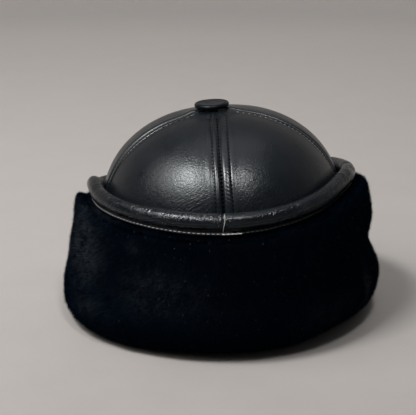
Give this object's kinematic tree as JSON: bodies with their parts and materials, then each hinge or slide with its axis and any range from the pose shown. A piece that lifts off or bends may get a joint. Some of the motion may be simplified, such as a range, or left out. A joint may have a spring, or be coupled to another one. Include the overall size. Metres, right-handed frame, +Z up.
{
  "type": "leather trapper hat",
  "caption": "Leather trapper hat with a domed crown sewn from panels, a covered button on top, and fur flaps folded up into a deep cuff edged by a padded roll.",
  "frame": {"origin": "on the surface that the hat stands on, under the middle of the fur cuff", "axes": "+Z up through the crown's top, -Y towards the side that the picture shows, +X to the right in that view"},
  "size_m": [0.2557, 0.2649, 0.1663],
  "materials": {
    "crown_leather": "smooth black nappa, soft sheen",
    "button_leather": "smooth black nappa, stretched over a disc",
    "roll_leather": "black nappa over padding, finely wrinkled",
    "cuff_fur": "black sheared sheepskin pile"
  },
  "bodies": {
    "root": {"crown_panel_1": "crown_leather", "crown_panel_2": "crown_leather", "crown_panel_3": "crown_leather", "crown_panel_4": "crown_leather", "top_button": "button_leather", "edge_roll": "roll_leather", "fur_cuff": "cuff_fur"}
  },
  "joints": []
}
